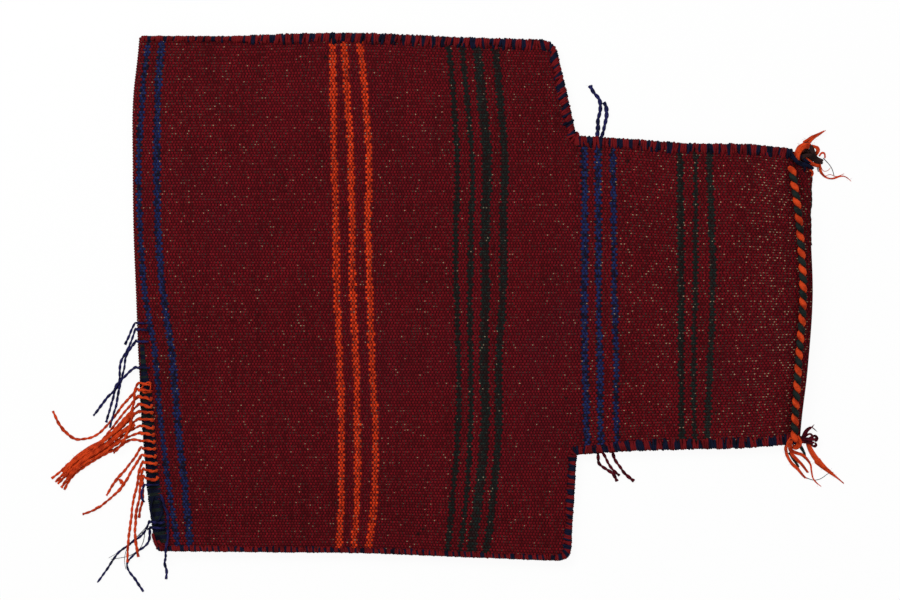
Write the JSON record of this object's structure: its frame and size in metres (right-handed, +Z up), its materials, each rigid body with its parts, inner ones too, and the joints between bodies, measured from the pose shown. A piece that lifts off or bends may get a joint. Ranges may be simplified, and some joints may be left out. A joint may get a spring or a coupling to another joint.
{
  "type": "kilim salt bag",
  "caption": "Flat-woven wool pouch with a wide striped body, a narrow open neck, overcast sides, a corded lip and loose yarn ends.",
  "frame": {"origin": "on the flat underside, under the middle of the bag's body", "axes": "+X from the base fold along the bag to the mouth, +Y to the bag's left side, +Z up out of the front panel"},
  "size_m": [0.6416, 0.4481, 0.0204],
  "materials": {
    "striped_kilim": "matt weft-faced wool, deep madder with navy, orange and charcoal stripes",
    "seam_yarn": "matt wool yarn, dark red stitches alternating with navy",
    "orange_wool": "matt orange wool yarn",
    "charcoal_wool": "matt charcoal wool yarn",
    "navy_wool": "matt navy wool yarn",
    "madder_wool": "matt dark red wool yarn"
  },
  "bodies": {
    "root": {"back_lip_thread": "charcoal_wool", "base_edge_binding": "charcoal_wool", "corner_strand_navy": "navy_wool", "corner_web_strand_01": "navy_wool", "corner_web_strand_02": "navy_wool", "fringe_strand_01": "orange_wool", "fringe_strand_02": "orange_wool", "fringe_strand_03": "orange_wool", "fringe_strand_04": "orange_wool", "fringe_strand_05": "orange_wool", "fringe_strand_06": "orange_wool", "fringe_strand_07": "orange_wool", "fringe_strand_08": "orange_wool", "fringe_strand_09": "orange_wool", "fringe_strand_10": "orange_wool", "fringe_strand_11": "orange_wool", "fringe_strand_12": "orange_wool", "fringe_strand_13": "orange_wool", "fringe_strand_14": "orange_wool", "left_knot_charcoal_loop": "charcoal_wool", "left_knot_charcoal_tail": "charcoal_wool", "left_knot_orange_tail": "orange_wool", "left_knot_orange_tuft": "orange_wool", "left_knot_orange_wrap": "orange_wool", "left_side_seam": "seam_yarn", "mouth_cord_charcoal_ply": "charcoal_wool", "mouth_cord_orange_ply": "orange_wool", "navy_curl": "navy_wool", "navy_strand_01": "navy_wool", "navy_strand_02": "navy_wool", "navy_strand_03": "navy_wool", "navy_strand_04": "navy_wool", "neck_tail_madder_01": "madder_wool", "neck_tail_madder_02": "madder_wool", "neck_tail_madder_03": "madder_wool", "neck_tail_navy_01": "navy_wool", "neck_tail_navy_02": "navy_wool", "right_knot_charcoal_end": "charcoal_wool", "right_knot_madder_tuft": "madder_wool", "right_knot_orange_tail": "orange_wool", "right_knot_orange_wrap": "orange_wool", "right_knot_strand_01": "orange_wool", "right_knot_strand_02": "orange_wool", "right_knot_strand_03": "orange_wool", "right_side_seam": "seam_yarn", "woven_cloth": "striped_kilim"}
  },
  "joints": []
}
